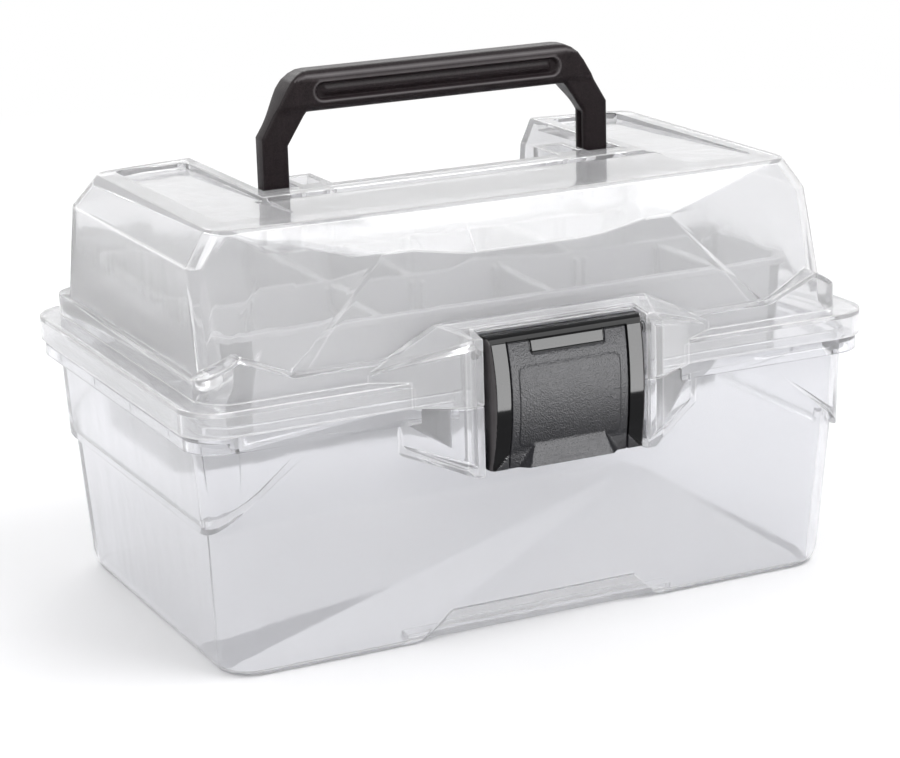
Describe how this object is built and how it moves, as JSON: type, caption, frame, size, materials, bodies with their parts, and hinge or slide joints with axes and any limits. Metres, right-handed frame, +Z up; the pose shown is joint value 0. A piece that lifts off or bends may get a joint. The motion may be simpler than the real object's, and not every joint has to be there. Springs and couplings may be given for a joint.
{
  "type": "art supply box",
  "caption": "Clear plastic art box with a hinged domed lid, fold-down carrying handle, snap latch, and a lift-out tray with removable dividers.",
  "frame": {"origin": "centre of the tub's underside, in the plane of the table", "axes": "+X along the length to the right as seen from the latch, +Y to the hinges at the back, +Z up"},
  "size_m": [0.2414, 0.1733, 0.175],
  "materials": {
    "tub_plastic": "clear moulded polypropylene with a slight haze",
    "lid_plastic": "clear moulded polypropylene with a slight haze",
    "tray_plastic": "milky translucent polypropylene",
    "divider_plastic": "milky translucent polypropylene",
    "handle_plastic": "satin black with a fine moulded texture",
    "latch_plastic": "black, glossy sides and a grained middle",
    "pin_steel": "plain drawn wire"
  },
  "bodies": {
    "tub": {"tub": "tub_plastic", "hinge_pin_left": "pin_steel", "hinge_pin_right": "pin_steel"},
    "lid": {"lid": "lid_plastic"},
    "handle": {"handle": "handle_plastic"},
    "latch": {"latch": "latch_plastic"},
    "tray": {"tray": "tray_plastic"},
    "divider_front_left": {"divider_front_left": "divider_plastic"},
    "divider_front_middle": {"divider_front_middle": "divider_plastic"},
    "divider_front_right": {"divider_front_right": "divider_plastic"},
    "divider_back_left": {"divider_back_left": "divider_plastic"},
    "divider_back_middle": {"divider_back_middle": "divider_plastic"},
    "divider_back_right": {"divider_back_right": "divider_plastic"}
  },
  "joints": [
    {"name": "lid_hinge", "type": "hinge", "parent": "tub", "child": "lid", "pos_m": [0, 0.081, 0.0812], "axis": [-1, 0, 0], "range_deg": [0, 105]},
    {"name": "handle_fold", "type": "hinge", "parent": "lid", "child": "handle", "pos_m": [0, 0.0025, 0.131], "axis": [-1, 0, 0], "range_deg": [0, 90]},
    {"name": "latch_flip", "type": "hinge", "parent": "lid", "child": "latch", "pos_m": [0, -0.0815, 0.0975], "axis": [-1, 0, 0], "range_deg": [0, 90]},
    {"name": "tray_lift", "type": "slide", "parent": "tub", "child": "tray", "axis": [0, 0, 1], "range_m": [0, 0.046]},
    {"name": "divider_front_left_lift", "type": "slide", "parent": "tray", "child": "divider_front_left", "axis": [0, 0, 1], "range_m": [0, 0.032]},
    {"name": "divider_front_middle_lift", "type": "slide", "parent": "tray", "child": "divider_front_middle", "axis": [0, 0, 1], "range_m": [0, 0.032]},
    {"name": "divider_front_right_lift", "type": "slide", "parent": "tray", "child": "divider_front_right", "axis": [0, 0, 1], "range_m": [0, 0.032]},
    {"name": "divider_back_left_lift", "type": "slide", "parent": "tray", "child": "divider_back_left", "axis": [0, 0, 1], "range_m": [0, 0.047]},
    {"name": "divider_back_middle_lift", "type": "slide", "parent": "tray", "child": "divider_back_middle", "axis": [0, 0, 1], "range_m": [0, 0.047]},
    {"name": "divider_back_right_lift", "type": "slide", "parent": "tray", "child": "divider_back_right", "axis": [0, 0, 1], "range_m": [0, 0.047]}
  ],
  "couplings": [
    {"joint": "tray_lift", "follows": "lid_hinge", "m_per_rad": 0.025101},
    {"joint": "divider_front_left_lift", "follows": "lid_hinge", "m_per_rad": 0.017462},
    {"joint": "divider_front_middle_lift", "follows": "lid_hinge", "m_per_rad": 0.017462},
    {"joint": "divider_front_right_lift", "follows": "lid_hinge", "m_per_rad": 0.017462},
    {"joint": "divider_back_left_lift", "follows": "lid_hinge", "m_per_rad": 0.025647},
    {"joint": "divider_back_middle_lift", "follows": "lid_hinge", "m_per_rad": 0.025647},
    {"joint": "divider_back_right_lift", "follows": "lid_hinge", "m_per_rad": 0.025647}
  ]
}
